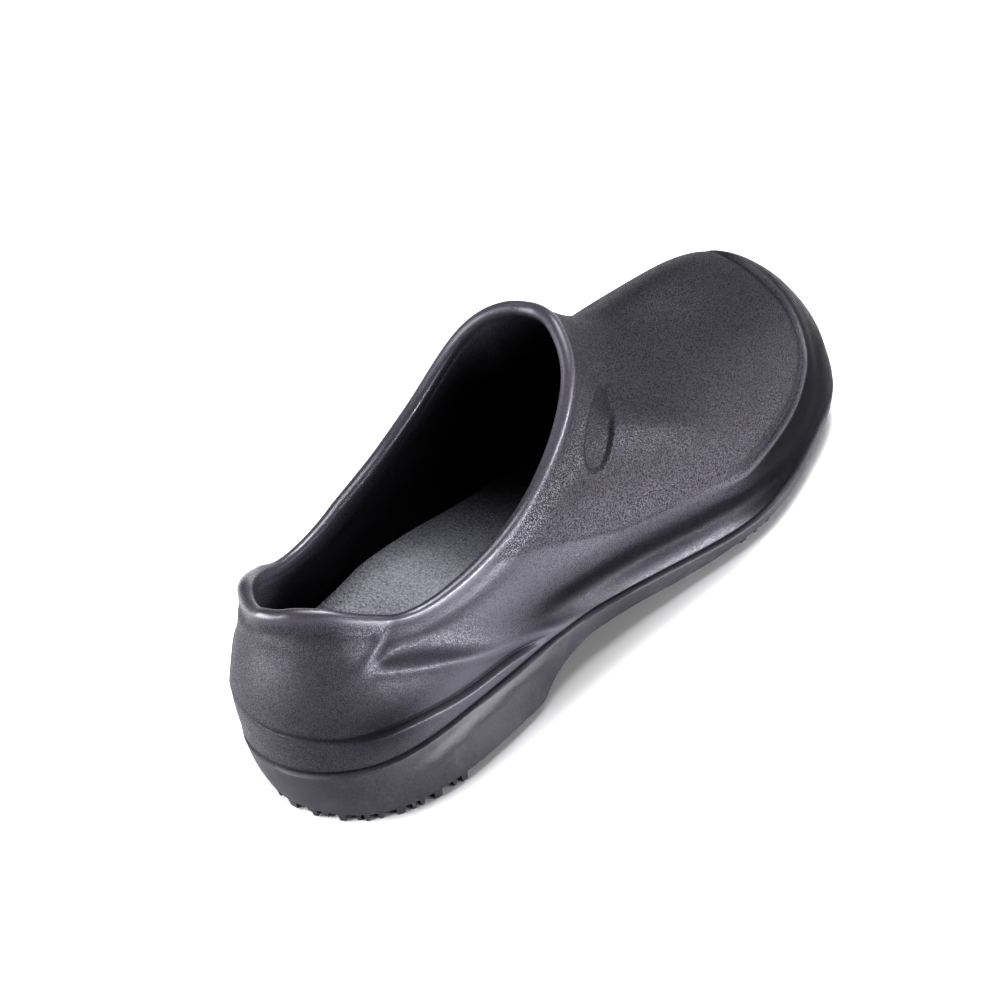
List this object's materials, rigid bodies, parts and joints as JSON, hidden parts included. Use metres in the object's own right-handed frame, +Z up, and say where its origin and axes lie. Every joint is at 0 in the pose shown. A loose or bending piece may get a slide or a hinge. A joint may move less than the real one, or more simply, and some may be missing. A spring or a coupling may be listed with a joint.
{
  "type": "hospital shoe",
  "caption": "Closed-toe slip-on work clog for a right foot: a moulded foam upper on a heeled, lugged rubber outsole with a loose insole.",
  "frame": {"origin": "on the floor, under the middle of the shoe's bounding box", "axes": "+X from heel to toe, +Y to the wearer's left, +Z up"},
  "size_m": [0.2888, 0.1048, 0.1096],
  "materials": {
    "upper": "matte, finely grained",
    "outsole": "satin",
    "insole": "matte, leather-like grain"
  },
  "bodies": {
    "root": {"upper": "upper", "outsole": "outsole", "insole": "insole"}
  },
  "joints": []
}
